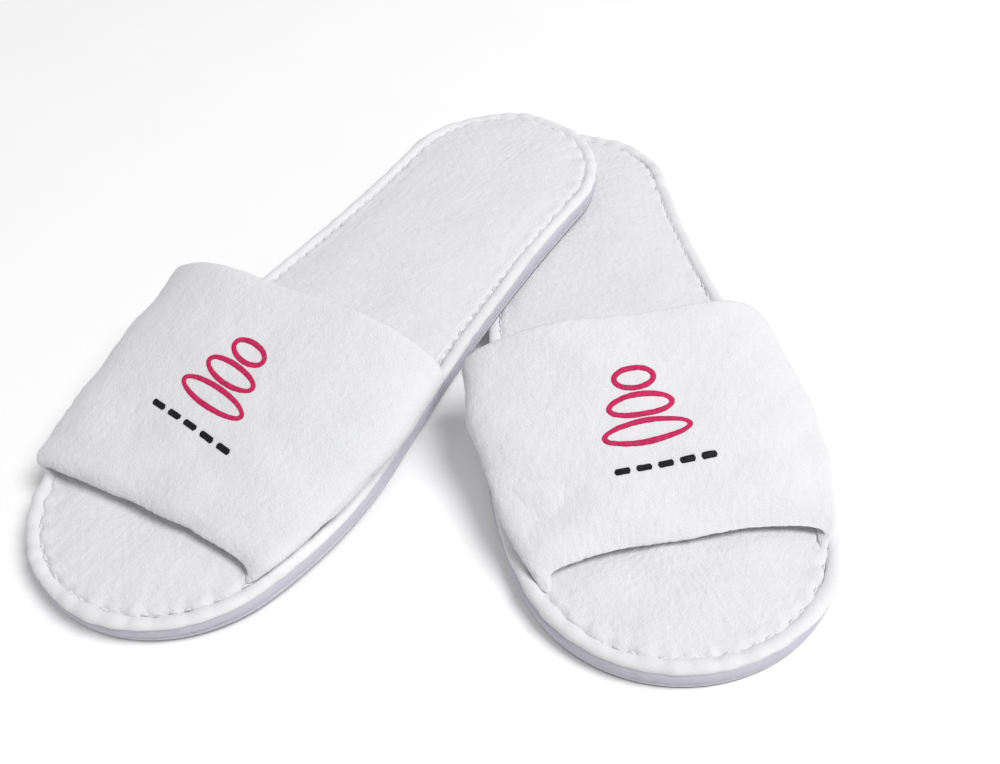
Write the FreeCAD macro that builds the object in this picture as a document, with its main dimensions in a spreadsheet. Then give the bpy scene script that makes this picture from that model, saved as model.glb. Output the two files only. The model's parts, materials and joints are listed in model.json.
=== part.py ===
"""A pair of open-toe terry spa slippers, the heel of one lying on the heel of the other.

Each slipper is built in its own frame: X across the foot, Y from the toe (-) to the heel (+),
Z up from the floor, with the middle of the sole's length at Y = 0.  A station is a distance
from the heel end along the sole.  Each piece is then placed with its slipper's placement.
"""
import FreeCAD, Part
import math
import os

Vector = FreeCAD.Vector

# ---------------------------------------------------------------------------------------------
# Driving dimensions, in millimetres and degrees
# ---------------------------------------------------------------------------------------------
SIZES = [
    ("sole_length", 280.0, "heel end to toe end"),
    ("heel_radius", 40.8, "round heel end of the outline"),
    ("waist_radius", 757.0, "hollow side between heel and ball"),
    ("ball_radius", 147.0, "long bulge of the side at the ball of the foot"),
    ("ball_half_width", 53.7, "half the sole's greatest width"),
    ("ball_station", 204.5, "where the sole is widest"),
    ("flex_station", 146.0, "where the sole bends, just behind the vamp"),
    ("flex_gap", 0.4, "gap between the two halves of each sole layer"),
    ("outsole_inset", 0.6, "outsole edge inside the outline"),
    ("outsole_thickness", 3.0, "EVA outsole"),
    ("midsole_thickness", 3.0, "EVA midsole"),
    ("foam_thickness", 1.5, "insole foam"),
    ("cover_thickness", 2.2, "terry insole cover"),
    ("cover_edge_radius", 0.9, "rounded rim of the insole cover"),
    ("binding_wall", 1.2, "binding tape on the side of the sole"),
    ("binding_width", 4.6, "binding roll on top of the sole"),
    ("binding_roll_radius", 1.7, "rounded outer edge of the binding"),
    ("binding_lip_radius", 0.8, "rounded inner edge of the binding"),
    ("seam_groove", 1.0, "groove between the binding and the insole cover"),
    ("stitch_pitch", 5.0, "thread stitch spacing in the groove"),
    ("stitch_length", 3.4, "visible part of one stitch"),
    ("stitch_radius", 0.4, "thread thickness, halved"),
    ("vamp_inset", 3.5, "vamp's outer foot inside the outline"),
    ("vamp_back_station", 160.0, "vamp's back edge at the sole"),
    ("vamp_front_station", 244.0, "vamp's front edge at the sole"),
    ("vamp_back_lean", 3.0, "how far the back edge leans to the toe at its top"),
    ("right_lip_lean", -15.0, "how far the right front edge leans to the toe at its top"),
    ("left_lip_lean", -4.0, "the same on the left slipper"),
    ("vamp_back_height", 34.5, "back edge above the sole's top"),
    ("right_lip_height", 11.2, "right front edge above the sole's top"),
    ("left_lip_height", 11.2, "the same on the left slipper"),
    ("right_plus_back_swell", 3.5, "right vamp's +X wall swells over its foot, at the back"),
    ("right_plus_front_swell", 2.5, "the same at the front"),
    ("right_minus_back_swell", 13.5, "right vamp's -X wall, at the back"),
    ("right_minus_front_swell", 3.0, "the same at the front"),
    ("left_plus_back_swell", 12.0, "left vamp's +X wall, at the back"),
    ("left_plus_front_swell", 2.5, "the same at the front"),
    ("left_minus_back_swell", 15.5, "left vamp's -X wall, at the back"),
    ("left_minus_front_swell", 7.0, "the same at the front"),
    ("swell_rise", 1.5, "1 swells most halfway up, more swells higher"),
    ("vamp_back_squareness", 5.5, "back edge: 2 is an ellipse, more is boxier"),
    ("vamp_front_squareness", 3.2, "the same at the front edge"),
    ("vamp_cover_thickness", 2.0, "terry cover of the vamp"),
    ("vamp_foam_thickness", 2.0, "vamp foam"),
    ("vamp_lining_thickness", 1.6, "terry lining of the vamp"),
    ("hem_length", 5.0, "cover turned round the vamp's edges"),
    ("emblem_station", 196.5, "centre of the printed emblem"),
    ("emblem_width", 26.0, "widest pebble of the emblem"),
    ("dash_row_station", 216.0, "row of printed dashes"),
    ("dash_length", 4.6, "one printed dash"),
    ("dash_width", 1.8, "the same, across"),
    ("print_thickness", 0.4, "printed film"),
    ("right_x", 70.2, "middle of the right sole"),
    ("right_y", 0.0, "middle of the right sole"),
    ("right_turn", 4.3, "the right slipper's turn about Z"),
    ("left_x", -25.1, "middle of the left sole"),
    ("left_y", 14.5, "middle of the left sole"),
    ("left_turn", -36.5, "the left slipper's turn about Z"),
    ("left_tilt", 3.6, "the left slipper's heel lies on the right one's"),
]

doc = FreeCAD.newDocument("spa_slippers")
sheet = doc.addObject("Spreadsheet::Sheet", "sizes")
for row, (alias, value, note) in enumerate(SIZES, 1):
    sheet.set(f"A{row}", note)
    sheet.set(f"B{row}", str(value))
    sheet.setAlias(f"B{row}", alias)
row = len(SIZES) + 1
for alias, formula, note in [
    ("midsole_bottom", "=outsole_thickness", "height of the midsole's underside"),
    ("foam_bottom", "=midsole_bottom + midsole_thickness", "height of the foam's underside"),
    ("binding_wall_height", "=midsole_thickness + foam_thickness", "binding beside the layers"),
    ("cover_bottom", "=foam_bottom + foam_thickness", "height of the cover's underside"),
    ("sole_top", "=cover_bottom + cover_thickness", "height of the finished sole"),
]:
    sheet.set(f"A{row}", note)
    sheet.set(f"B{row}", formula)
    sheet.setAlias(f"B{row}", alias)
    row += 1
doc.recompute()


def size(alias):
    """The value of one cell of the sheet."""
    return float(sheet.get(alias))


# ---------------------------------------------------------------------------------------------
# Outline of the sole: one side is four tangent arcs, heel to toe, and the other mirrors it
# ---------------------------------------------------------------------------------------------
HEEL_END_Y = size("sole_length") / 2


def tangent_centre(centre_a, reach_a, centre_b, reach_b):
    """The point at two given distances from two centres, on the +X side of their line."""
    line = centre_b - centre_a
    span = line.Length
    along = (reach_a ** 2 - reach_b ** 2 + span ** 2) / (2 * span)
    across = math.sqrt(reach_a ** 2 - along ** 2)
    unit = line / span
    return centre_a + unit * along + Vector(-unit.y, unit.x, 0) * across


def outline_circles():
    """Centre, radius and side (+1 bulges out, -1 is hollow) of the four arcs."""
    heel_r, waist_r, ball_r = size("heel_radius"), size("waist_radius"), size("ball_radius")
    heel = Vector(0, HEEL_END_Y - heel_r, 0)
    ball = Vector(size("ball_half_width") - ball_r, HEEL_END_Y - size("ball_station"), 0)
    waist = tangent_centre(heel, heel_r + waist_r, ball, ball_r + waist_r)
    # the toe end's circle is centred on the axis, touches the toe end and the ball's circle
    toe_to_ball = size("sole_length") - size("ball_station")
    toe_r = (ball_r ** 2 - ball.x ** 2 - toe_to_ball ** 2) / (2 * (ball_r - toe_to_ball))
    toe = Vector(0, toe_r - HEEL_END_Y, 0)
    return [(heel, heel_r, 1), (waist, waist_r, -1), (ball, ball_r, 1), (toe, toe_r, 1)]


def outline_side(inset):
    """The +X half as (centre, radius, start direction, end direction), heel to toe."""
    circles = outline_circles()
    heel, waist, ball, toe = [centre for centre, _, _ in circles]
    joints = [Vector(0, 1, 0), (waist - heel).normalize(), (waist - ball).normalize(),
              (toe - ball).normalize(), Vector(0, -1, 0)]
    arcs = []
    for index, (centre, radius, side) in enumerate(circles):
        # a hollow arc is seen from its other side, so its directions turn round
        start, end = joints[index] * side, joints[index + 1] * side
        arcs.append((centre, radius - side * inset, start, end))
    return arcs


def arc_through(centre, radius, start, end):
    """The shorter arc between two directions from a centre."""
    middle = (start + end).normalize()
    return Part.Arc(centre + start * radius, centre + middle * radius, centre + end * radius)


def mirrored(curve):
    """The same arc on the -X side, run the other way."""
    first, last = curve.StartPoint, curve.EndPoint
    middle = curve.value((curve.FirstParameter + curve.LastParameter) / 2)
    flip = [Vector(-p.x, p.y, 0) for p in (first, middle, last)]
    return Part.Arc(*flip)


def side_arcs(inset, half):
    """The +X side's arcs of one half of the sole, heel to toe: 'heel' or 'front' of the flex."""
    arcs = outline_side(inset)
    gap = size("flex_gap") / 2 * (1 if half == "heel" else -1)
    cut_y = HEEL_END_Y - size("flex_station") + gap
    centre, radius, start, end = arcs[1]
    cut = Vector(-math.sqrt(radius ** 2 - (cut_y - centre.y) ** 2), cut_y - centre.y, 0) / radius
    if half == "heel":
        pieces = [arcs[0], (centre, radius, start, cut)]
    else:
        pieces = [(centre, radius, cut, end)] + arcs[2:]
    return [arc_through(*piece) for piece in pieces]


def half_outline(inset, half):
    """Closed outline of one half of a sole layer: arcs, and a straight cut at the flex line."""
    right = side_arcs(inset, half)
    curves = right + [mirrored(curve) for curve in right]
    cut = right[0] if half == "front" else right[-1]
    cut_point = cut.StartPoint if half == "front" else cut.EndPoint
    curves.append(Part.LineSegment(Vector(-cut_point.x, cut_point.y, 0), cut_point))
    return curves


def half_band(outer_inset, inner_inset, half):
    """Closed outline of the band between two insets: two runs of arcs and two short cuts."""
    curves = []
    for inset in (outer_inset, inner_inset):
        right = side_arcs(inset, half)
        curves += right + [mirrored(curve) for curve in right]
        cut = right[0] if half == "front" else right[-1]
        cut_point = cut.StartPoint if half == "front" else cut.EndPoint
        if inset == outer_inset:
            outer_cut = cut_point
    for side in (1, -1):
        curves.append(Part.LineSegment(Vector(side * outer_cut.x, outer_cut.y, 0),
                                       Vector(side * cut_point.x, cut_point.y, 0)))
    return curves


def half_width(station):
    """Half the sole's width at a station."""
    height = HEEL_END_Y - station
    for index, (centre, radius, start, end) in enumerate(outline_side(0.0)):
        if (centre + end * radius).y <= height + 1e-9:
            side = outline_circles()[index][2]
            return centre.x + side * math.sqrt(radius ** 2 - (height - centre.y) ** 2)
    return 0.0


# ---------------------------------------------------------------------------------------------
# Sole layers and binding: padded sketches
# ---------------------------------------------------------------------------------------------
def new_body(label):
    body = doc.addObject("PartDesign::Body", label)
    body.Label = label
    return body


def add_pad(body, curves, bottom, height):
    """Pad a closed outline up from the height in one cell by the height in another."""
    sketch = body.newObject("Sketcher::SketchObject", f"{body.Label}_sketch")
    floor = [o for o in body.Origin.OriginFeatures if o.Role == "XY_Plane"][0]
    sketch.AttachmentSupport = [(floor, "")]
    sketch.MapMode = "FlatFace"
    if bottom:
        sketch.setExpression("AttachmentOffset.Base.z", f"sizes.{bottom} * 1 mm")
    for curve in curves:
        sketch.addGeometry(curve, False)
    pad = body.newObject("PartDesign::Pad", f"{body.Label}_pad")
    pad.Profile = sketch
    pad.setExpression("Length", f"sizes.{height} * 1 mm")
    doc.recompute()
    return pad


def round_top(body, pad, radius, keep):
    """Round the top edges of a pad whose middle point passes the test."""
    top = pad.Shape.BoundBox.ZMax
    names = []
    for index, edge in enumerate(pad.Shape.Edges, 1):
        flat = all(abs(v.Z - top) < 1e-6 for v in edge.Vertexes)
        if flat and edge.Curve.TypeId == "Part::GeomCircle" and keep(edge):
            names.append(f"Edge{index}")
    fillet = body.newObject("PartDesign::Fillet", f"{body.Label}_round")
    fillet.Base = (pad, names)
    fillet.setExpression("Radius", f"sizes.{radius} * 1 mm")
    doc.recompute()
    return fillet


def outline_distance(edge):
    """How far the middle of an edge lies inside the sole's outline."""
    middle = edge.valueAt((edge.FirstParameter + edge.LastParameter) / 2)
    point = Part.Vertex(Vector(abs(middle.x), middle.y, 0))
    outline = side_arcs(0.0, "heel") + side_arcs(0.0, "front")
    return min(curve.toShape().distToShape(point)[0] for curve in outline)


def sole_layer(label, half, inset, bottom, height):
    body = new_body(label)
    add_pad(body, half_outline(inset, half), bottom, height)
    return body


def insole_cover(label, half):
    body = new_body(label)
    inset = size("binding_width") + size("seam_groove")
    pad = add_pad(body, half_outline(inset, half), "cover_bottom", "cover_thickness")
    round_top(body, pad, "cover_edge_radius", lambda edge: True)
    return body


def binding(label, half):
    """Binding tape: a thin wall on the side of the layers, and a rounded roll on top."""
    body = new_body(label)
    wall = half_band(0.0, size("binding_wall"), half)
    add_pad(body, wall, "midsole_bottom", "binding_wall_height")
    flange = half_band(0.0, size("binding_width"), half)
    roll = add_pad(body, flange, "cover_bottom", "cover_thickness")
    middle = size("binding_width") / 2
    outer = round_top(body, roll, "binding_roll_radius",
                      lambda edge: outline_distance(edge) < middle)
    round_top(body, outer, "binding_lip_radius",
              lambda edge: outline_distance(edge) > middle)
    return body


def seam_stitches(label, half):
    """Short threads lying in the groove between the binding and the insole cover."""
    inset = size("binding_width") + size("seam_groove") / 2
    height = size("cover_bottom") + size("stitch_radius")
    right = side_arcs(inset, half)
    runs = [curve.toShape() for curve in right + [mirrored(curve) for curve in right]]
    line = Part.Wire(Part.sortEdges(runs)[0])
    count = int(line.Length / size("stitch_pitch"))
    points = line.discretize(Number=count + 1)
    stitches = []
    for start, end in zip(points, points[1:]):
        along = (end - start).normalize()
        first = (start + end) / 2 - along * (size("stitch_length") / 2) + Vector(0, 0, height)
        stitches.append(Part.makeCylinder(size("stitch_radius"), size("stitch_length"),
                                          first, along))
    return shape_feature(label, Part.makeCompound(stitches))


def shape_feature(label, shape):
    feature = doc.addObject("Part::Feature", label)
    feature.Label = label
    feature.Shape = shape
    return feature


# ---------------------------------------------------------------------------------------------
# Vamp: a wide arch of three layers, low at the toe opening and tall at the instep
# ---------------------------------------------------------------------------------------------
VAMP_LENGTH = size("vamp_front_station") - size("vamp_back_station")
VAMP_RIBS = 6
ARCH_ANGLES = (0, 10, 20, 30, 38, 45, 52, 60, 70, 80)


def between(back, front, fraction):
    """A value that runs evenly from the back edge to the front edge."""
    return size(back) + (size(front) - size(back)) * fraction


def arch_profile(squareness):
    """Reach across and rise of the arch's points, from its +X foot (1, 0) to its -X foot."""
    half = []
    for angle in ARCH_ANGLES:
        slope = math.tan(math.radians(angle))
        reach = (1 + slope ** squareness) ** (-1 / squareness)
        half.append((reach, slope * reach))
    return half + [(0.0, 1.0)] + [(-reach, rise) for reach, rise in reversed(half)]


def vamp_point(foot, fraction, reach, rise, depth):
    """A point of the arch, at a fraction of its length and a depth below the cover."""
    station = size("vamp_back_station") + VAMP_LENGTH * fraction
    foot_width = half_width(station) - size("vamp_inset") - depth
    wall = f"{foot}_plus" if reach > 0 else f"{foot}_minus"
    swell = between(f"{wall}_back_swell", f"{wall}_front_swell", fraction)
    full_height = between("vamp_back_height", f"{foot}_lip_height", fraction)
    height = full_height - depth
    # every layer of one rib lies in the same leaning plane
    lean = between("vamp_back_lean", f"{foot}_lip_lean", fraction) * height / full_height
    return Vector(reach * (foot_width + swell * math.sin(math.pi * rise ** size("swell_rise"))),
                  HEEL_END_Y - station - lean * rise,
                  size("sole_top") + height * rise)


def arch_curve(foot, fraction, depth):
    """One side-to-side curve of the vamp."""
    squareness = between("vamp_back_squareness", "vamp_front_squareness", fraction)
    spline = Part.BSplineCurve()
    spline.interpolate([vamp_point(foot, fraction, reach, rise, depth)
                        for reach, rise in arch_profile(squareness)])
    return spline.toShape()


def arch_strip(foot, back, front, top_depth, bottom_depth):
    """A layer of the vamp between two fractions of its length and two depths."""
    ribs = []
    for index in range(VAMP_RIBS + 1):
        fraction = back + (front - back) * index / VAMP_RIBS
        top = arch_curve(foot, fraction, top_depth)
        under = arch_curve(foot, fraction, bottom_depth)
        ends = [Part.makeLine(top.Vertexes[k].Point, under.Vertexes[k].Point) for k in (0, 1)]
        ribs.append(Part.Wire([top, ends[1], under, ends[0]]))
    return Part.makeLoft(ribs, True, True)


def vamp_layers(foot):
    """Cover with its edges turned in, foam and lining."""
    cover_depth = size("vamp_cover_thickness")
    foam_depth = cover_depth + size("vamp_foam_thickness")
    full_depth = foam_depth + size("vamp_lining_thickness")
    hem = size("hem_length") / VAMP_LENGTH
    # the hollow behind the cover reaches past the lining, so that only the hems stay thick
    hollow = arch_strip(foot, hem, 1 - hem, cover_depth, 2 * full_depth)
    cover = arch_strip(foot, 0, 1, 0, full_depth).cut(hollow)
    foam = arch_strip(foot, hem, 1 - hem, cover_depth, foam_depth)
    lining = arch_strip(foot, hem, 1 - hem, foam_depth, full_depth)
    return [shape_feature(f"{foot}_vamp_cover", cover),
            shape_feature(f"{foot}_vamp_foam", foam),
            shape_feature(f"{foot}_vamp_lining", lining)]


def crown_placement(foot, station):
    """Placement of a flat print on the vamp's top, its Z square to the surface there."""
    fractions = [index / 100 for index in range(101)]
    tops = [vamp_point(foot, fraction, 0.0, 1.0, 0.0) for fraction in fractions]
    target = HEEL_END_Y - station
    nearest = min(range(1, 100), key=lambda k: abs(tops[k].y - target))
    along = tops[nearest - 1] - tops[nearest + 1]
    tilt = math.degrees(math.atan2(along.z, along.y))
    lift = Vector(0, 0, size("print_thickness") / 2)
    return FreeCAD.Placement(tops[nearest] + lift, FreeCAD.Rotation(Vector(1, 0, 0), tilt))


def emblem(foot):
    """Three stacked smooth pebbles, flat printed."""
    thick = size("print_thickness")
    width = size("emblem_width")
    pebbles = []
    for share, middle in ((1.0, -0.27), (0.76, 0.03), (0.5, 0.29)):
        oval = Part.Ellipse(Vector(0, middle * width, 0), share * width / 2, 0.13 * width)
        face = Part.Face(Part.Wire(oval.toShape()))
        pebbles.append(face.extrude(Vector(0, 0, thick)))
    stack = Part.makeCompound(pebbles)
    stack.Placement = crown_placement(foot, size("emblem_station"))
    return shape_feature(f"{foot}_vamp_emblem", stack)


def dash_row(foot):
    """A short row of plain dashes under the emblem."""
    length, width = size("dash_length"), size("dash_width")
    dashes = []
    for step in range(-2, 3):
        corner = Vector(step * length * 1.4 - length / 2, -width / 2, 0)
        dashes.append(Part.makeBox(length, width, size("print_thickness"), corner))
    row_shape = Part.makeCompound(dashes)
    row_shape.Placement = crown_placement(foot, size("dash_row_station"))
    return shape_feature(f"{foot}_vamp_dash_row", row_shape)


# ---------------------------------------------------------------------------------------------
# The two slippers
# ---------------------------------------------------------------------------------------------
def slipper(foot):
    pieces = []
    for half in ("front", "heel"):
        wall = size("binding_wall")
        pieces += [
            sole_layer(f"{foot}_outsole_{half}", half, size("outsole_inset"), None,
                       "outsole_thickness"),
            sole_layer(f"{foot}_midsole_{half}", half, wall, "midsole_bottom",
                       "midsole_thickness"),
            sole_layer(f"{foot}_insole_foam_{half}", half, wall, "foam_bottom",
                       "foam_thickness"),
            insole_cover(f"{foot}_insole_cover_{half}", half),
            binding(f"{foot}_binding_{half}", half),
            seam_stitches(f"{foot}_seam_stitches_{half}", half),
        ]
    return pieces + vamp_layers(foot) + [emblem(foot), dash_row(foot)]


def slipper_placement(foot):
    """Where a slipper lies: turned about Z, with its heel raised about its toe end."""
    turn = FreeCAD.Rotation(Vector(0, 0, 1), size(f"{foot}_turn"))
    place = FreeCAD.Placement(Vector(size(f"{foot}_x"), size(f"{foot}_y"), 0), turn)
    if foot == "left":
        tilt = FreeCAD.Rotation(Vector(1, 0, 0), size("left_tilt"))
        toe_end = Vector(0, -HEEL_END_Y, 0)
        place = place * FreeCAD.Placement(Vector(0, 0, 0), tilt, toe_end)
    return place


nodes = []
for foot_name in ("right", "left"):
    where = slipper_placement(foot_name)
    for piece in slipper(foot_name):
        if piece.TypeId == "Part::Feature":
            piece.Placement = where * piece.Placement
        else:
            piece.Placement = where
        nodes.append(piece)
doc.recompute()

for item in doc.Objects:
    if "Invalid" in item.State or "Error" in item.State:
        raise RuntimeError(f"{item.Label} did not compute: {item.State}")
for piece in nodes:
    if piece.Shape.isNull() or not piece.Shape.isValid():
        raise RuntimeError(f"{piece.Label} has no valid shape")

os.makedirs("parts", exist_ok=True)
for piece in nodes:
    piece.Shape.exportStep(f"parts/{piece.Label}.step")
    box = piece.Shape.BoundBox
    print(f"{piece.Label}: volume {piece.Shape.Volume:.0f} mm3, "
          f"Z {box.ZMin:.1f} to {box.ZMax:.1f}, solids {len(piece.Shape.Solids)}")
everything = FreeCAD.BoundBox()
for piece in nodes:
    everything.add(piece.Shape.BoundBox)
print(f"whole pair: X {everything.XMin:.2f} to {everything.XMax:.2f}, "
      f"Y {everything.YMin:.2f} to {everything.YMax:.2f}, "
      f"Z {everything.ZMin:.2f} to {everything.ZMax:.2f}")
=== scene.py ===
import math

import bmesh
import bpy
import numpy as np
from mathutils import Matrix, Vector
from mathutils.bvhtree import BVHTree
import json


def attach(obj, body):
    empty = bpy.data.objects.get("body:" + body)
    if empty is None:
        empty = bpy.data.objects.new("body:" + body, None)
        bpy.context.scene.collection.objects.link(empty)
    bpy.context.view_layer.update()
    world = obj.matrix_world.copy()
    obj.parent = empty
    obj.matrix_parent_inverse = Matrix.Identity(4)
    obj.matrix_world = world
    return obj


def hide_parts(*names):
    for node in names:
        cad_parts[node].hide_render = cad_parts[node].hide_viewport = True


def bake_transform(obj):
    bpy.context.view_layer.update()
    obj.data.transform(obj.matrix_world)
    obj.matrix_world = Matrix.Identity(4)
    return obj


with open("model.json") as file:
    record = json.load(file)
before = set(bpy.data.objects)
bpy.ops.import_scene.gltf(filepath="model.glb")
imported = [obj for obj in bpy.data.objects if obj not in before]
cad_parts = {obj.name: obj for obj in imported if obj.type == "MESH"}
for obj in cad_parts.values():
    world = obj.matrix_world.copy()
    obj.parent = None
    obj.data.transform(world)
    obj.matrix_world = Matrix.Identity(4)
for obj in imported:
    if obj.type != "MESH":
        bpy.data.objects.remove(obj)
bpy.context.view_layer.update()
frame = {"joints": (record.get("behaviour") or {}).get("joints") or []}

# ---------------------------------------------------------------------------------------------
# Sizes of one slipper, in millimetres, as in the CAD: X across, Y towards the heel, Z up.
# A station is a distance from the heel's end.
# ---------------------------------------------------------------------------------------------
MM = 0.001
HALF_LENGTH = 140.0
HEEL_RADIUS, WAIST_RADIUS, BALL_RADIUS = 40.8, 757.0, 147.0
BALL_HALF_WIDTH, BALL_STATION = 53.7, 204.5
FLEX_Y = HALF_LENGTH - 146.0
OUTSOLE_TOP, MIDSOLE_TOP, FOAM_TOP, SOLE_TOP = 3.0, 6.0, 7.5, 9.7
OUTSOLE_INSET, MIDSOLE_INSET, FOAM_INSET = 0.6, 1.3, 1.4
BINDING_WIDTH = 4.6
LEFT_TILT = math.radians(3.6)

# ---------------------------------------------------------------------------------------------
# The vamp. Its front edge is the lip.
# ---------------------------------------------------------------------------------------------
VAMP_BACK, VAMP_FRONT = 160.0, 246.5
VAMP_LENGTH = VAMP_FRONT - VAMP_BACK
VAMP_INSET, VAMP_THICK = 4.1, 5.6
# how far its feet go down into the seam
VAMP_SUNK = 1.2
VAMP_BACK_HEIGHT = 34.5
LIP_HEIGHT = {"right": 9.9, "left": 10.2}
# the arch is a superellipse, squarer at a higher power: at the back edge and at the lip
SQUARENESS = (5.5, 3.2)
# how far each wall swells out over its foot, at the back edge and at the lip
PLUS_SWELL = {"right": (2.0, 7.5), "left": (16.0, 4.0)}
MINUS_SWELL = {"right": (13.5, 3.0), "left": (14.0, 11.0)}
# how much less the -X wall swells half-way along
MINUS_PINCH = {"right": 0.0, "left": 6.0}
# the higher this power, the higher up the wall its swell is
SWELL_RISE = {"right": 1.5, "left": 1.25}
# how far each edge leans towards the toe, or, below 0, the heel: at the -X and at the +X wall
BACK_LEAN = {"right": (3.0, 3.0), "left": (3.0, -3.5)}
LIP_LEAN = {"right": (-15.0, -16.5), "left": (-3.5, -7.5)}

# ---------------------------------------------------------------------------------------------
# The prints
# ---------------------------------------------------------------------------------------------
EMBLEM_WIDTH, EMBLEM_STROKE = 29.0, 1.7
EMBLEM_Y, DASH_ROW_Y, PRINT_MIDDLE_Y = HALF_LENGTH - 196.5, HALF_LENGTH - 216.0, HALF_LENGTH - 205.0
EMBLEM_SHIFT = {"right": -3.0, "left": -0.5}
# each pebble's width and its distance towards the heel, as shares of the emblem's width
PEBBLES = ((1.0, -0.29), (0.76, 0.02), (0.5, 0.33))
PEBBLE_HALF_HEIGHT = 0.145
DASH_LENGTH = {"right": 4.9, "left": 5.6}
DASH_WIDTH, DASH_CORNER = 1.9, 0.5
PRINT_TURN = {"right": math.radians(2.0), "left": math.radians(-7.0)}

# the float attribute on the binding: 1 on its side wall, which takes painted shade, 0 on its roll
SHADED_SIDE = "side"


def placement(foot):
    """Row-frame matrix of a slipper, from its flex joint, which lies on its own X axis."""
    joint = next(j for j in frame["joints"] if j["name"] == f"{foot}_sole_flex")
    turn = math.atan2(joint["axis"][1], joint["axis"][0])
    tilt = LEFT_TILT if foot == "left" else 0.0
    return (Matrix.Translation(joint["pos_m"]) @ Matrix.Rotation(turn, 4, "Z")
            @ Matrix.Rotation(tilt, 4, "X") @ Matrix.Scale(MM, 4)
            @ Matrix.Translation((0, -FLEX_Y, -SOLE_TOP)))


PLACE = {foot: placement(foot) for foot in ("right", "left")}


# ---------------------------------------------------------------------------------------------
# Outline of the sole: four tangent arcs a side
# ---------------------------------------------------------------------------------------------
def outline(count):
    """Evenly spaced points round the sole, heel end first and +X side first.

    Gives the points, their outward normals and their distances along the outline.
    """
    heel = np.array([0, HALF_LENGTH - HEEL_RADIUS])
    ball = np.array([BALL_HALF_WIDTH - BALL_RADIUS, HALF_LENGTH - BALL_STATION])
    line = ball - heel
    span = np.linalg.norm(line)
    reach_a, reach_b = HEEL_RADIUS + WAIST_RADIUS, BALL_RADIUS + WAIST_RADIUS
    along = (reach_a ** 2 - reach_b ** 2 + span ** 2) / (2 * span)
    across = math.sqrt(reach_a ** 2 - along ** 2)
    unit = line / span
    waist = heel + unit * along + np.array([-unit[1], unit[0]]) * across
    rest = 2 * HALF_LENGTH - BALL_STATION
    toe_radius = (BALL_RADIUS ** 2 - ball[0] ** 2 - rest ** 2) / (2 * (BALL_RADIUS - rest))
    toe = np.array([0, toe_radius - HALF_LENGTH])

    def angle(a, b):
        return math.atan2(b[1] - a[1], b[0] - a[0])

    arcs = [(heel, HEEL_RADIUS, 1, math.pi / 2, angle(heel, waist)),
            (waist, WAIST_RADIUS, -1, angle(waist, heel), angle(waist, ball)),
            (ball, BALL_RADIUS, 1, angle(ball, waist), angle(toe, ball) + math.pi),
            (toe, toe_radius, 1, angle(toe, ball) + math.pi, -math.pi / 2)]
    points, normals = [], []
    for centre, radius, side, start, end in arcs:
        sweep = (end - start + math.pi) % (2 * math.pi) - math.pi
        for theta in np.linspace(start, start + sweep, 400):
            ray = np.array([math.cos(theta), math.sin(theta)])
            points.append(centre + radius * ray)
            normals.append(side * ray)
    points, normals = np.array(points), np.array(normals)
    run = np.concatenate([[0], np.cumsum(np.linalg.norm(np.diff(points, axis=0), axis=1))])
    stops = np.linspace(0, run[-1], count // 2 + 1)

    def even(table):
        half = np.stack([np.interp(stops, run, table[:, k]) for k in (0, 1)], axis=1)
        return np.concatenate([half, (half * [-1, 1])[-2:0:-1]])

    return even(points), even(normals), np.arange(count) * run[-1] * 2 / count


# the +X side of the outline from toe to heel, finely divided, for looking up widths
PLUS_SIDE = outline(2000)[0][:1001][::-1]


def half_width(y):
    """Half the sole's width at a distance along it."""
    return np.interp(y, PLUS_SIDE[:, 1], PLUS_SIDE[:, 0])


# ---------------------------------------------------------------------------------------------
# Soft unevenness: sums of seeded waves
# ---------------------------------------------------------------------------------------------
def ripple(points, wavelength, seed, waves=28):
    """Smooth noise of about unit size at points (n, 3), of one rough wavelength."""
    rng = np.random.default_rng(seed)
    ways = rng.normal(size=(waves, 3))
    ways /= np.linalg.norm(ways, axis=1)[:, None]
    ways *= (2 * math.pi / wavelength * rng.uniform(0.65, 1.5, waves))[:, None]
    phase = rng.uniform(0, 2 * math.pi, waves)
    shape = points.shape[:-1]
    flat = points.reshape(-1, 3)
    total = np.zeros(len(flat))
    for way, start in zip(ways, phase):
        total += np.sin(flat @ way + start)
    return (total * math.sqrt(2 / waves)).reshape(shape)


def smooth_step(value, low, high):
    """0 below low, 1 above high, and a smooth rise between them."""
    t = np.clip((value - low) / (high - low), 0, 1)
    return t * t * (3 - 2 * t)


def between(start, end, fraction):
    """A value part of the way from start to end."""
    return start + (end - start) * fraction


# ---------------------------------------------------------------------------------------------
# Meshes
# ---------------------------------------------------------------------------------------------
def grid_faces(rows, columns, wrap_columns):
    """Quads of a grid of points, its columns wrapped round or not."""
    last = columns if wrap_columns else columns - 1
    r = np.arange(rows - 1)[:, None] * columns
    c = np.arange(last)[None, :]
    d = (c + 1) % columns
    return np.stack([r + c, r + d, r + columns + d, r + columns + c], axis=-1).reshape(-1, 4)


def smooth_shade(mesh):
    """Shade every face smoothly."""
    for polygon in mesh.polygons:
        polygon.use_smooth = True


def new_piece(name, points, faces, weld):
    """A closed mesh object from points in the row frame, its faces turned outwards.

    Points that lie together are made one if weld is set. Otherwise their order is kept.
    """
    mesh = bpy.data.meshes.new(name)
    mesh.from_pydata(points, [], faces)
    work = bmesh.new()
    work.from_mesh(mesh)
    if weld:
        bmesh.ops.remove_doubles(work, verts=work.verts, dist=2e-6)
    bmesh.ops.recalc_face_normals(work, faces=work.faces)
    work.to_mesh(mesh)
    work.free()
    smooth_shade(mesh)
    piece = bpy.data.objects.new(name, mesh)
    bpy.context.scene.collection.objects.link(piece)
    return piece


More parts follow.
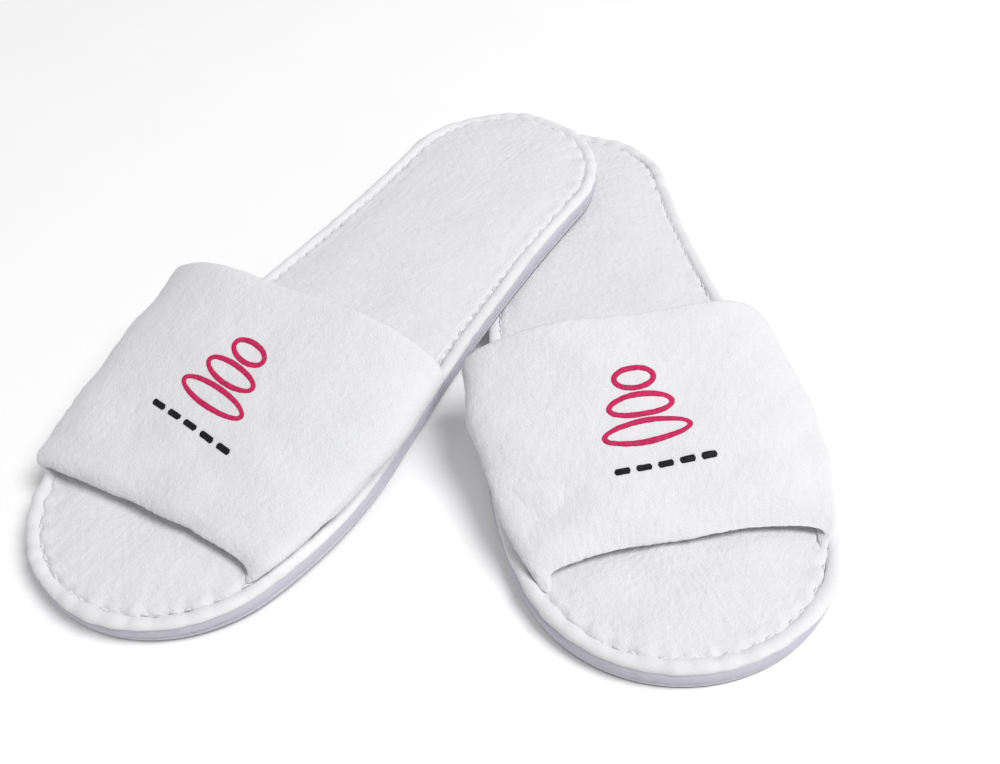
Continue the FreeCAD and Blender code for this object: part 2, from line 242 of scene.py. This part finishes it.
def local_piece(name, foot, points, faces, weld=True):
    """The same from a slipper's own points in millimetres."""
    place = np.array(PLACE[foot])
    world = points.reshape(-1, 3) @ place[:3, :3].T + place[:3, 3]
    return new_piece(name, world.tolist(), [list(map(int, f)) for f in faces], weld)


def local_points(piece, foot):
    """A piece's points in its slipper's own millimetres."""
    inverse = PLACE[foot].inverted()
    return np.array([inverse @ v.co for v in piece.data.vertices])


def roughen(piece, amounts, seed):
    """Move a mesh's points along their normals by ripples: (wavelength, height) in mm."""
    mesh = piece.data
    count = len(mesh.vertices)
    place, lift = np.zeros(count * 3), np.zeros(count * 3)
    mesh.vertices.foreach_get("co", place)
    mesh.vertices.foreach_get("normal", lift)
    place, lift = place.reshape(-1, 3), lift.reshape(-1, 3)
    for index, (wavelength, height) in enumerate(amounts):
        rise = ripple(place / MM, wavelength, seed + index)
        place = place + lift * (rise * height * MM)[:, None]
    mesh.vertices.foreach_set("co", place.ravel())
    mesh.update()


def inflate(piece, held, pressure, cap, frames=20):
    """Let a closed cloth swell, its held points pinned, and keep the result, at most cap mm out."""
    start = np.array([v.co for v in piece.data.vertices])
    group = piece.vertex_groups.new(name="held")
    group.add([int(i) for i in np.flatnonzero(held)], 1.0, "REPLACE")
    cloth = piece.modifiers.new("cloth", "CLOTH")
    settings = cloth.settings
    settings.quality, settings.mass = 6, 0.15
    settings.tension_stiffness = settings.compression_stiffness = 18.0
    settings.shear_stiffness, settings.bending_stiffness = 6.0, 0.6
    settings.use_pressure, settings.uniform_pressure_force = True, pressure
    settings.vertex_group_mass = "held"
    settings.effector_weights.gravity = 0.0
    scene = bpy.context.scene
    for frame_number in range(1, frames + 1):
        scene.frame_set(frame_number)
    evaluated = piece.evaluated_get(bpy.context.evaluated_depsgraph_get())
    moved = np.array([v.co for v in evaluated.data.vertices]) - start
    scene.frame_set(1)
    piece.modifiers.remove(cloth)
    piece.vertex_groups.clear()
    reach = np.linalg.norm(moved, axis=1)[:, None]
    moved *= cap * MM / (cap * MM + reach)
    piece.data.vertices.foreach_set("co", (start + moved).ravel())
    piece.data.update()


def subdivide(piece, levels):
    """Catmull-Clark subdivision, applied."""
    smooth = piece.modifiers.new("smooth", "SUBSURF")
    smooth.levels = smooth.render_levels = levels
    made = bpy.data.meshes.new_from_object(piece.evaluated_get(
        bpy.context.evaluated_depsgraph_get()))
    piece.modifiers.clear()
    old, piece.data = piece.data, made
    made.name = piece.name
    bpy.data.meshes.remove(old)
    smooth_shade(made)


# ---------------------------------------------------------------------------------------------
# Sole: rings round a spine
# ---------------------------------------------------------------------------------------------
def sole_rings(count, inset, shares):
    """Rings (k, count, 3) from an inset outline (share 0) to the sole's spine (share 1).

    Gives the rings, at height 0, and their points' distances from the inset outline.
    """
    points, normals, _ = outline(count)
    edge = points - inset * normals
    low = points[:, 1].min() + 50.0
    high = HALF_LENGTH - HEEL_RADIUS
    spine = np.stack([np.zeros(count), np.clip(edge[:, 1], low, high)], axis=1)
    shares = np.asarray(shares)[:, None, None]
    flat = edge + shares * (spine - edge)
    distance = shares[..., 0] * np.linalg.norm(spine - edge, axis=1)
    return np.concatenate([flat, np.zeros(flat.shape[:2] + (1,))], axis=2), distance


def level_rings(count, inset, shares, height):
    """Rings of a flat face of the sole."""
    rings, _ = sole_rings(count, inset, shares)
    rings[..., 2] = height
    return rings


def wall_rings(count, inset, bottom, top, steps, softening, power):
    """Rings up a sheet's side wall, drawn in towards its two edges."""
    rings, _ = sole_rings(count, inset, [0.0] * steps)
    normals = outline(count)[1]
    for ring, turn in zip(rings, np.linspace(-1, 1, steps)):
        ring[:, :2] -= normals * softening * abs(turn) ** power
        ring[:, 2] = (bottom + top) / 2 + turn * (top - bottom) / 2
    return rings


def ringed_piece(name, foot, rings):
    """A closed piece from rings round the sole."""
    return local_piece(name, foot, rings, grid_faces(len(rings), rings.shape[1], True))


def slab(name, foot, inset, bottom, top):
    """A plain closed sheet of the sole with softened edges."""
    count = 360
    shares = [1, 0.6, 0.3, 0.1, 0.03]
    return ringed_piece(name, foot, np.concatenate([
        level_rings(count, inset, shares, bottom),
        wall_rings(count, inset, bottom, top, 5, 0.5, 2.5),
        level_rings(count, inset, shares[::-1], top)]))


def outsole(foot):
    """Thin foam sheet with a fine diamond grip cut into its underside."""
    count = 640
    pitch, slant, depth = 5.0, 0.6, 0.6
    shares = np.concatenate([np.linspace(1, 0.02, 58), [0.008]])
    under, distance = sole_rings(count, OUTSOLE_INSET, shares)
    x, y = under[..., 0], under[..., 1]
    lines = [np.abs(((x + way * y) / pitch) % 1 - 0.5) for way in (slant, -slant)]
    cut = 1 - smooth_step(np.minimum(*lines) * pitch, 0.4, 1.1)
    plain_margin = smooth_step(distance, 3.0, 4.5)
    under[..., 2] = depth * cut * plain_margin
    return ringed_piece(f"{foot}_outsole_sheet", foot, np.concatenate([
        under,
        wall_rings(count, OUTSOLE_INSET, 0.0, OUTSOLE_TOP, 7, 0.7, 3),
        level_rings(count, OUTSOLE_INSET, [0.02, 0.3, 1], OUTSOLE_TOP)]))


def gathers(y):
    """How strongly the seam gathers the cloth: fully round the toe and heel, less between."""
    return 0.3 + 0.7 * smooth_step(np.abs(y), 55, 105)


def seam_knots(count, seed):
    """Which of the evenly spaced points round a sole the seam pulls down: each second or third."""
    rng = np.random.default_rng(seed)
    knots = np.zeros(count, bool)
    at = 0
    while at < count - 1:
        knots[at] = True
        at += int(rng.integers(2, 4))
    return knots


def pucker(run, y, seed):
    """Soft swells between stitches, 7 to 11 mm long and of uneven size."""
    rng = np.random.default_rng(seed)
    total = run[-1] + run[1]
    stops = [0.0]
    while stops[-1] < total - 14:
        stops.append(stops[-1] + rng.uniform(7.0, 11.0))
    stops.append(total)
    phase = np.interp(run, stops, np.arange(len(stops)))
    plump = rng.uniform(0.3, 1.0, len(stops) + 1)[phase.astype(int)]
    return np.sin(math.pi * (phase % 1)) ** 1.2 * plump * gathers(y)


def insole_cover(foot, seed):
    """Padded terry top: crowned, and gathered where the seam pulls it down."""
    count = 204
    inset = BINDING_WIDTH - 0.3
    crown, unevenness, lump_height = 0.9, 0.25, 0.85
    # the lumps lie in a band this far in from the edge, and fade out over this width
    lump_distance, lump_spread = 1.1, 1.9
    near_edge = [0.0, 0.014, 0.034, 0.062, 0.1, 0.15]
    over, distance = sole_rings(count, inset, np.concatenate([near_edge, np.linspace(0.22, 1, 12)]))
    seam = seam_knots(count, seed)
    over[..., 2] = FOAM_TOP + 0.25 + (SOLE_TOP - FOAM_TOP) * (1 - np.exp(-distance / 1.2))
    over[..., 2] += crown * smooth_step(distance, 2, 26)
    sizes = np.random.default_rng(seed + 3).uniform(0.45, 1.15, count)
    plump = np.where(seam, -0.45, sizes) * gathers(over[0, :, 1])
    near = np.exp(-((distance - lump_distance) / lump_spread) ** 2)
    over[..., :2] += outline(count)[1][None] * (near * plump)[..., None]
    over[..., 2] += near * lump_height * plump
    over[..., 2] += unevenness * ripple(over, 26, seed + 1) * smooth_step(distance, 2, 10)
    under = level_rings(count, inset, [1, 0.5, 0.05, 0.0], FOAM_TOP + 0.05)
    piece = ringed_piece(f"{foot}_insole_terry", foot, np.concatenate([under, over]))
    local = local_points(piece, foot)
    held = local[:, 2] < FOAM_TOP + 0.1
    for knot in over[0][seam]:
        held[np.argmin(np.linalg.norm(local - knot, axis=1))] = True
    inflate(piece, held, 4.0, 1.4)
    subdivide(piece, 2)
    roughen(piece, [(5.5, 0.045), (2.6, 0.045), (1.7, 0.04)], seed + 5)
    return piece


def binding(foot, seed):
    """Soft roll round the sole's edge, its tape wrapped down over the layers."""
    count = 720
    points, normals, run = outline(count)
    roll_inset, roll_height = 2.2, 7.8
    # the roll swells out from its middle and up from its foot
    roll_foot, rise = 7.0, 1.6
    wall = [(1.2, 3.05), (0.35, 3.05), (0.0, 3.4), (-0.15, 4.2), (-0.15, 5.4), (0.1, 6.2), (0.32, 6.6)]
    roll = [(roll_inset - 2.4 * math.cos(theta), roll_height + 1.9 * math.sin(theta))
            for theta in np.linspace(-0.55, math.pi + 0.42, 16)]
    profile = wall + roll + [(3.2, 7.4), (1.25, 7.3)]
    gather = pucker(run, points[:, 1], seed)
    spot = np.concatenate([points, np.zeros((count, 1))], axis=1)
    fat = 1 + 0.045 * ripple(spot, 30, seed + 1) + 0.15 * (gather - 0.4)
    drift = 0.22 * ripple(spot, 46, seed + 2)
    rings = np.zeros((len(profile), count, 3))
    for ring, (inset, z) in zip(rings, profile):
        loose = smooth_step(z, 6.0, 7.2)
        across = roll_inset + (inset - roll_inset) * (1 + (fat - 1) * loose) + drift * loose
        ring[:, :2] = points - normals * across[:, None]
        ring[:, 2] = z + (z - roll_foot) * (fat - 1) * loose * rise
    piece = ringed_piece(f"{foot}_edge_binding", foot, np.concatenate([rings, rings[:1]]))
    roughen(piece, [(7.0, 0.06), (2.2, 0.025)], seed + 7)
    height = local_points(piece, foot)[:, 2]
    # 1 on the side wall, where the tape's colour is painted shade
    side = piece.data.attributes.new(SHADED_SIDE, "FLOAT", "POINT")
    side.data.foreach_set("value", 1 - smooth_step(height, 6.2, 7.5))
    return piece


def seam_stitches(foot):
    """Short threads sunk in the groove between binding and insole."""
    points, normals, run = outline(1360)
    line = points - (BINDING_WIDTH + 0.1) * normals
    length, pitch, thread_radius = 3.4, 5.0, 0.42
    lift, sag = 1.2, 0.55
    sides, steps = 7, 7
    middle = steps // 2
    total = run[-1] + run[1]
    number = int(total / pitch)
    verts, faces = [], []
    for index in range(number):
        stops = (index + 0.5) * total / number + np.linspace(-length / 2, length / 2, steps)
        way = [np.interp(stops % total, run, line[:, k]) for k in (0, 1)]
        out = [np.interp(stops % total, run, normals[:, k]) for k in (0, 1)]
        base = len(verts) * sides
        for k in range(steps):
            end = abs(k - middle) / middle
            radius = thread_radius * math.sqrt(max(0.02, 1 - end ** 4))
            height = FOAM_TOP + lift - sag * end ** 2
            ring = []
            for theta in np.linspace(0, 2 * math.pi, sides, endpoint=False):
                shift = radius * math.cos(theta)
                ring.append((way[0][k] + out[0][k] * shift, way[1][k] + out[1][k] * shift,
                             height + radius * math.sin(theta)))
            verts.append(ring)
        faces += [f + base for f in grid_faces(steps, sides, True)]
        faces += [np.arange(sides)[::-1] + base, np.arange(sides) + base + (steps - 1) * sides]
    return local_piece(f"{foot}_seam_threads", foot, np.array(verts), faces, weld=False)


# ---------------------------------------------------------------------------------------------
# Vamp: nested layers of a wide arch
# ---------------------------------------------------------------------------------------------
def vamp_surface(foot, distance, angle, depth):
    """Points of the arch: distance from its back edge (mm), angle over it, depth below it (mm)."""
    fraction = distance / VAMP_LENGTH
    square = between(*SQUARENESS, fraction)
    across, up = np.cos(angle), np.clip(np.sin(angle), 0, 1)
    size = (np.abs(across) ** square + up ** square) ** (1 / square)
    reach, rise = across / size, up / size
    y_here = HALF_LENGTH - VAMP_BACK - distance
    # the layers are sewn flat together where they go into the seam
    depth = depth * (0.4 + 0.6 * smooth_step(rise, 0.0, 0.3))
    foot_width = half_width(y_here) - VAMP_INSET - depth
    pinch = MINUS_PINCH[foot] * 4 * fraction * (1 - fraction)
    swell = np.where(across > 0, between(*PLUS_SWELL[foot], fraction),
                     between(*MINUS_SWELL[foot], fraction) - pinch)
    full_height = between(VAMP_BACK_HEIGHT, LIP_HEIGHT[foot], fraction)
    height = full_height - depth
    side = (reach + 1) / 2
    lean = between(between(*BACK_LEAN[foot], side), between(*LIP_LEAN[foot], side), fraction)
    lean = lean * height / full_height
    x = reach * (foot_width + swell * np.sin(math.pi * rise ** SWELL_RISE[foot]))
    y = y_here - lean * rise
    z = SOLE_TOP - VAMP_SUNK + (height + VAMP_SUNK) * rise
    return np.stack([x, y, z], axis=-1)


def arch_angles(foot, count):
    """Angles with about even spacing along the arch, half-way along the vamp."""
    number = 4001
    fine = np.linspace(0, math.pi, number)
    line = vamp_surface(foot, np.full(number, VAMP_LENGTH / 2), fine, np.zeros(number))
    run = np.concatenate([[0], np.cumsum(np.linalg.norm(np.diff(line, axis=0), axis=1))])
    return np.interp(np.linspace(0, run[-1], count), run, fine)


def swept_layer(name, foot, loop, columns, weld=True):
    """A closed loop of (distance, depth) swept over the arch, with capped feet."""
    loop = np.array(loop)
    angle = arch_angles(foot, columns)
    grid = vamp_surface(foot, loop[:, 0][None, :], angle[:, None], loop[:, 1][None, :])
    rows, number = grid.shape[:2]
    faces = [list(f) for f in grid_faces(rows, number, True)]
    faces += [list(range(number)), list(range((rows - 1) * number, rows * number))]
    return local_piece(name, foot, grid, faces, weld)


def strip_loop(margin, top, bottom, step, bulge=0.0):
    """Loop of a plain strip, this far in from the vamp's edges: along its top and back below."""
    start, end = margin, VAMP_LENGTH - margin
    count = max(3, int((end - start) / step))
    along = np.linspace(start, end, count)
    puff = bulge * np.sin(math.pi * np.linspace(0, 1, count)) ** 0.4
    upper = [(s, top - p) for s, p in zip(along, puff)]
    lower = [(s, bottom + p) for s, p in zip(along[::-1], puff)]
    return upper + lower


def vamp_cover(foot, seed):
    """Terry outer layer, turned round both edges to a short hem inside."""
    radius, hem, under = VAMP_THICK / 2, 5.5, 2.0
    rim = np.linspace(0, math.pi, 6)[1:-1]
    outer = [(s, 0.0) for s in np.linspace(radius, VAMP_LENGTH - radius, 24)]
    front = [(VAMP_LENGTH - radius + radius * math.sin(a), radius - radius * math.cos(a))
             for a in rim]
    hem_end = VAMP_LENGTH - hem - 0.3
    front_hem = [(VAMP_LENGTH - radius, VAMP_THICK), (VAMP_LENGTH - hem, VAMP_THICK),
                 (hem_end, VAMP_THICK - 0.5), (hem_end, under + 0.3)]
    inner = [(s, under) for s in np.linspace(VAMP_LENGTH - hem - 1, hem + 1, 16)]
    back_hem, back = [[(VAMP_LENGTH - s, depth) for s, depth in reversed(part)]
                      for part in (front_hem, front)]
    loop = outer + front + front_hem + inner + back_hem + back
    columns = 54
    piece = swept_layer(f"{foot}_vamp_terry", foot, loop, columns, weld=False)
    depth = np.tile(np.array(loop)[:, 1], columns)
    column = np.repeat(np.arange(columns), len(loop))
    inflate(piece, (depth > 1.5) | (column < 1) | (column > columns - 2), 3.0, 1.6)
    slacken(piece, foot, seed)
    subdivide(piece, 2)
    roughen(piece, [(11, 0.045), (5.0, 0.035), (2.6, 0.04), (1.7, 0.035)], seed)
    return piece


def slacken(piece, foot, seed):
    """Slack in the cloth: long soft hollows, deepest low on the side walls."""
    local = local_points(piece, foot)
    lift = np.array([v.normal for v in piece.data.vertices])
    low = 1 - smooth_step(local[:, 2], 16, 40)
    stretched = local * [0.6, 1.0, 0.45]
    rise = ripple(stretched, 17, seed + 11) * (0.1 + 0.4 * low)
    rise += 0.35 * ripple(local, 48, seed + 12)
    grounded = smooth_step(local[:, 2], SOLE_TOP, SOLE_TOP + 4)
    place = np.array([v.co for v in piece.data.vertices])
    place += lift * (rise * grounded * MM)[:, None]
    piece.data.vertices.foreach_set("co", place.ravel())
    piece.data.update()


def vamp_foam(foot):
    """The thin foam between the vamp's cover and its lining."""
    return swept_layer(f"{foot}_vamp_padding", foot, strip_loop(6.2, 2.2, 3.8, 4.0), 60)


def vamp_lining(foot, seed):
    """The terry on the foot's side of the vamp."""
    loop = strip_loop(4.9, 4.1, 5.5, 1.6, 0.25)
    piece = swept_layer(f"{foot}_vamp_inner_terry", foot, loop, 150)
    roughen(piece, [(2.4, 0.05)], seed)
    return piece


# ---------------------------------------------------------------------------------------------
# Prints: flat shapes laid on the vamp
# ---------------------------------------------------------------------------------------------
def laid_print(name, foot, cover, rows, faces):
    """Flat points (x, y), turned about the prints' middle and dropped on the cover as a film."""
    cos, sin = math.cos(PRINT_TURN[foot]), math.sin(PRINT_TURN[foot])
    rise, sink = 0.30 * MM, 0.12 * MM
    tree = BVHTree.FromObject(cover, bpy.context.evaluated_depsgraph_get())
    down = (PLACE[foot].to_3x3() @ Vector((0, 0, -1))).normalized()
    top, bottom = [], []
    for x, y in rows:
        y -= PRINT_MIDDLE_Y
        above = Vector((cos * x - sin * y, PRINT_MIDDLE_Y + sin * x + cos * y, 90.0))
        hit = tree.ray_cast(PLACE[foot] @ above, down)[0]
        top.append(hit - down * rise)
        bottom.append(hit + down * sink)
    count = len(rows)
    solid = [list(f) for f in faces] + [[i + count for i in reversed(f)] for f in faces]
    edges = dict.fromkeys(edge for f in faces for edge in zip(f, f[1:] + f[:1]))
    solid += [[b, a, a + count, b + count] for a, b in edges if (b, a) not in edges]
    return new_piece(name, [tuple(v) for v in top + bottom], solid, weld=False)


def emblem(foot, cover):
    """Three stacked smooth pebbles in outline."""
    around, across = 96, 4
    rows, faces = [], []
    for share, offset in PEBBLES:
        base = len(rows)
        for k in range(across):
            shrink = EMBLEM_STROKE * k / (across - 1)
            half_x = share * EMBLEM_WIDTH / 2 - shrink
            half_y = PEBBLE_HALF_HEIGHT * EMBLEM_WIDTH - shrink
            for theta in np.linspace(0, 2 * math.pi, around, endpoint=False):
                rows.append((EMBLEM_SHIFT[foot] + math.cos(theta) * half_x,
                             EMBLEM_Y + offset * EMBLEM_WIDTH + math.sin(theta) * half_y))
        faces += [[base + int(i) for i in f] for f in grid_faces(across, around, True)]
    return laid_print(f"{foot}_pebble_emblem", foot, cover, rows, faces)


def dash_row(foot, cover):
    """A short row of plain dashes with rounded corners."""
    length = DASH_LENGTH[foot]
    along, across = 13, 6
    rows, faces = [], []
    for step in range(-2, 3):
        base = len(rows)
        for a in np.linspace(-1, 1, along):
            into_corner = max(0, (abs(a) * length / 2 - length / 2 + DASH_CORNER) / DASH_CORNER)
            reach = DASH_WIDTH / 2 * math.sqrt(max(0.05, 1 - into_corner ** 2))
            for b in np.linspace(-1, 1, across):
                rows.append((step * length * 1.4 + a * length / 2, DASH_ROW_Y + b * reach))
        faces += [[base + int(i) for i in f] for f in grid_faces(along, across, False)]
    return laid_print(f"{foot}_dash_row", foot, cover, rows, faces)


# ---------------------------------------------------------------------------------------------
# Materials
# ---------------------------------------------------------------------------------------------
class Nodes:
    """A short way to write a material's nodes."""

    # the sockets of a Mix node that mixes colours
    MIX_FACTOR, MIX_LOW, MIX_HIGH, MIX_RESULT = 0, 6, 7, 2

    def __init__(self, name):
        self.material = bpy.data.materials.new(name)
        self.material.use_nodes = True
        self.tree = self.material.node_tree
        self.shader = self.tree.nodes["Principled BSDF"]
        self.where = self.tree.nodes.new("ShaderNodeTexCoord").outputs["Object"]

    def add(self, kind, inputs=(), **settings):
        """A node, its settings, and its inputs as values or as other nodes' outputs."""
        node = self.tree.nodes.new(kind)
        for key, value in settings.items():
            setattr(node, key, value)
        for key, value in dict(inputs).items():
            if hasattr(value, "is_output"):
                self.tree.links.new(value, node.inputs[key])
            else:
                node.inputs[key].default_value = value
        return node

    def noise(self, scale, detail=2.0, roughness=0.5):
        inputs = {"Vector": self.where, "Scale": scale, "Detail": detail, "Roughness": roughness}
        return self.add("ShaderNodeTexNoise", inputs).outputs["Fac"]

    def cells(self, scale):
        inputs = {"Vector": self.where, "Scale": scale}
        return self.add("ShaderNodeTexVoronoi", inputs).outputs["Distance"]

    def bands(self, scale, distortion, **more):
        inputs = {"Vector": self.where, "Scale": scale, "Distortion": distortion, **more}
        return self.add("ShaderNodeTexWave", inputs, bands_direction="DIAGONAL").outputs["Fac"]

    def math(self, operation, a, b):
        return self.add("ShaderNodeMath", {0: a, 1: b}, operation=operation).outputs[0]

    def weighted(self, a, share_a, b, share_b):
        """The sum of two values, each times its share."""
        return self.math("ADD", self.math("MULTIPLY", a, share_a), self.math("MULTIPLY", b, share_b))

    def mix(self, factor, low, high):
        """Two colours mixed, each a triple or another node's output."""
        low, high = [(*c, 1) if isinstance(c, tuple) else c for c in (low, high)]
        inputs = {self.MIX_FACTOR: factor, self.MIX_LOW: low, self.MIX_HIGH: high}
        return self.add("ShaderNodeMix", inputs, data_type="RGBA").outputs[self.MIX_RESULT]

    def ramp(self, value, low, high):
        inputs = {"Value": value, "From Min": low, "From Max": high}
        return self.add("ShaderNodeMapRange", inputs).outputs[0]

    def bump(self, height, distance, strength):
        inputs = {"Height": height, "Distance": distance, "Strength": strength}
        return self.add("ShaderNodeBump", inputs).outputs["Normal"]

    def finish(self, colour, normal, roughness, sheen=0.0, specular=0.3):
        self.tree.links.new(colour, self.shader.inputs["Base Color"])
        self.tree.links.new(normal, self.shader.inputs["Normal"])
        self.shader.inputs["Roughness"].default_value = roughness
        self.shader.inputs["Sheen Weight"].default_value = sheen
        self.shader.inputs["Sheen Roughness"].default_value = 0.6
        self.shader.inputs["Specular IOR Level"].default_value = specular
        return self.material


def terry(name, light, dark):
    """Short terry pile: round loops, a soft mottle, a lazy nap, and painted shade between the loops.
    """
    n = Nodes(name)
    loops = n.cells(1500.0)
    nap = n.noise(820.0, 3.0, 0.6)
    patch = n.ramp(n.noise(95.0, 4.0, 0.65), 0.32, 0.68)
    # painted shade: lighter on the loop tops and the high nap, darker in the gaps between loops
    painted_pile_shade = n.ramp(n.math("MULTIPLY", n.ramp(loops, 0.75, 0.15), n.ramp(nap, 0.25, 0.7)), 0.0, 1.0)
    # the colour is part painted pile shade, part random mottle
    colour = n.mix(n.weighted(painted_pile_shade, 0.6, patch, 0.4), dark, light)
    height = n.weighted(loops, -0.9, nap, 1.1)
    return n.finish(colour, n.bump(height, 0.0004, 0.32), 0.95, sheen=0.2, specular=0.12)


def tape(name, light, dark, side):
    """Smooth knitted binding tape with fine slanting wales, and painted shade on its side wall."""
    n = Nodes(name)
    wales = n.bands(260.0, 2.5, **{"Detail": 2.0, "Detail Scale": 2.0})
    fuzz = n.noise(900.0, 3.0, 0.6)
    patch = n.ramp(n.noise(70.0, 3.0), 0.35, 0.65)
    # painted shade: the side wall takes the darker side colour
    wall = n.add("ShaderNodeAttribute", attribute_name=SHADED_SIDE).outputs["Fac"]
    colour = n.mix(wall, n.mix(n.weighted(patch, 0.7, fuzz, 0.3), dark, light), side)
    height = n.math("ADD", n.math("MULTIPLY", wales, 0.2), fuzz)
    return n.finish(colour, n.bump(height, 0.0003, 0.35), 0.8, sheen=0.15, specular=0.25)


def foam(name, light, dark):
    """Closed-cell foam: fine pores and faint scuffs."""
    n = Nodes(name)
    pores = n.cells(520.0)
    scuff = n.noise(45.0, 5.0, 0.7)
    tone = n.weighted(n.ramp(pores, 0.0, 0.6), 0.5, n.ramp(scuff, 0.3, 0.7), 0.5)
    normal = n.bump(n.math("ADD", pores, scuff), 0.0003, 0.4)
    return n.finish(n.mix(tone, dark, light), normal, 0.7, specular=0.35)


def print_film(name, light, dark):
    """Flexible transfer film that shows the pile through it."""
    n = Nodes(name)
    loops = n.cells(1250.0)
    fade = n.noise(260.0, 4.0, 0.65)
    tone = n.ramp(n.math("MULTIPLY", fade, n.ramp(loops, 0.9, 0.2)), 0.1, 0.55)
    normal = n.bump(n.math("ADD", loops, fade), 0.0003, 0.5)
    return n.finish(n.mix(tone, dark, light), normal, 0.7, specular=0.15)


def twisted_thread(name, light, dark):
    """Sewing thread with slanting strands."""
    n = Nodes(name)
    strands = n.bands(700.0, 1.5)
    return n.finish(n.mix(strands, dark, light), n.bump(strands, 0.0002, 0.6), 0.7, sheen=0.1)


def pale_paper(name):
    """The floor: near white, with a faint grain and a faint glow."""
    n = Nodes(name)
    colour = n.mix(n.noise(30.0), (0.96, 0.96, 0.96), (0.98, 0.98, 0.98))
    n.shader.inputs["Emission Color"].default_value = (1, 1, 1, 1)
    n.shader.inputs["Emission Strength"].default_value = 0.06
    return n.finish(colour, n.bump(n.noise(900.0), 0.0001, 0.1), 0.9, specular=0.1)


CUSHION_FOAM = ((0.88, 0.87, 0.82), (0.78, 0.77, 0.72))
MATERIALS = {
    "terry": terry("white_terry", (0.832, 0.832, 0.85), (0.757, 0.757, 0.78)),
    "terry_lining": terry("lining_terry", (0.80, 0.80, 0.81), (0.68, 0.68, 0.70)),
    # side: the painted shade colour of the binding tape's side wall
    "binding_tape": tape("binding_tape", (0.835, 0.832, 0.85), (0.765, 0.762, 0.785),
                         side=(0.53, 0.523, 0.60)),
    "outsole_eva": foam("outsole_foam", (0.62, 0.61, 0.67), (0.50, 0.49, 0.56)),
    "midsole_eva": foam("midsole_foam", (0.84, 0.84, 0.86), (0.74, 0.74, 0.77)),
    "insole_foam": foam("insole_foam", *CUSHION_FOAM),
    "vamp_foam": foam("vamp_foam", *CUSHION_FOAM),
    "thread": twisted_thread("sewing_thread", (0.88, 0.88, 0.90), (0.70, 0.70, 0.74)),
    "print_pink": print_film("pink_print", (0.66, 0.035, 0.145), (0.52, 0.02, 0.10)),
    "print_dark": print_film("dark_print", (0.022, 0.022, 0.024), (0.008, 0.008, 0.009)),
}


# ---------------------------------------------------------------------------------------------
# The pair
# ---------------------------------------------------------------------------------------------
def dress(piece, slot_name):
    """Give a piece its material and its slot."""
    piece.data.materials.clear()
    piece.data.materials.append(MATERIALS[slot_name])


def sole_piece(piece, foot, node, slot_name):
    """A piece that runs from toe to heel and takes the place of the sole's front and heel parts."""
    dress(piece, slot_name)
    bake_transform(piece)
    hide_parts(f"{foot}_{node}_front", f"{foot}_{node}_heel")


def vamp_piece(piece, foot, node, slot_name):
    """A piece that stays with the front of the slipper."""
    dress(piece, slot_name)
    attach(piece, f"{foot}_front")
    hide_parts(f"{foot}_{node}")


for foot, seed in (("right", 100), ("left", 300)):
    sole_piece(outsole(foot), foot, "outsole", "outsole_eva")
    midsole = slab(f"{foot}_midsole_sheet", foot, MIDSOLE_INSET, OUTSOLE_TOP, MIDSOLE_TOP)
    sole_piece(midsole, foot, "midsole", "midsole_eva")
    padding = slab(f"{foot}_insole_padding", foot, FOAM_INSET, MIDSOLE_TOP, FOAM_TOP)
    sole_piece(padding, foot, "insole_foam", "insole_foam")
    insole = insole_cover(foot, seed)
    sole_piece(insole, foot, "insole_cover", "terry")
    sole_piece(binding(foot, seed + 20), foot, "binding", "binding_tape")
    sole_piece(seam_stitches(foot), foot, "seam_stitches", "thread")
    cover = vamp_cover(foot, seed + 40)
    vamp_piece(cover, foot, "vamp_cover", "terry")
    vamp_piece(vamp_foam(foot), foot, "vamp_foam", "vamp_foam")
    vamp_piece(vamp_lining(foot, seed + 60), foot, "vamp_lining", "terry_lining")
    vamp_piece(emblem(foot, cover), foot, "vamp_emblem", "print_pink")
    vamp_piece(dash_row(foot, cover), foot, "vamp_dash_row", "print_dark")

# ---------------------------------------------------------------------------------------------
# Floor, light and camera
# ---------------------------------------------------------------------------------------------
bpy.ops.mesh.primitive_plane_add(size=6.0, location=(0, 0, -0.0002))
floor = bpy.context.object
floor.name = "floor"
floor.data.materials.append(pale_paper("pale_paper"))

world = bpy.data.worlds.new("studio")
bpy.context.scene.world = world
world.use_nodes = True
sky = world.node_tree.nodes["Background"]
sky.inputs["Color"].default_value = (1, 1, 1, 1)
sky.inputs["Strength"].default_value = 0.385

key_place, key_target = Vector((1.15, -0.68, 2.12)), Vector((0, 0, 0.02))
key_data = bpy.data.lights.new("key", "AREA")
key_data.shape, key_data.size, key_data.energy = "DISK", 1.2, 47.5
key = bpy.data.objects.new("key", key_data)
key.location = key_place
key.rotation_euler = (key_target - key_place).to_track_quat("-Z", "Y").to_euler()
bpy.context.scene.collection.objects.link(key)

camera_data = bpy.data.cameras.new("camera")
camera_data.lens, camera_data.sensor_width = 45.0, 36.0
camera_data.clip_start, camera_data.clip_end = 0.01, 10.0
camera = bpy.data.objects.new("camera", camera_data)
bpy.context.scene.collection.objects.link(camera)
aim, distance = Vector((0.0276, -0.0057, 0.0)), 0.45261
elevation, roll = math.radians(43.433), math.radians(-5.0)
away = Vector((0, -math.cos(elevation), math.sin(elevation)))
camera.matrix_world = (Matrix.Translation(aim + distance * away)
                       @ Matrix.Rotation(math.pi / 2 - elevation, 4, "X")
                       @ Matrix.Rotation(roll, 4, "Z"))
bpy.context.scene.camera = camera
bpy.context.scene.view_settings.view_transform = "Standard"
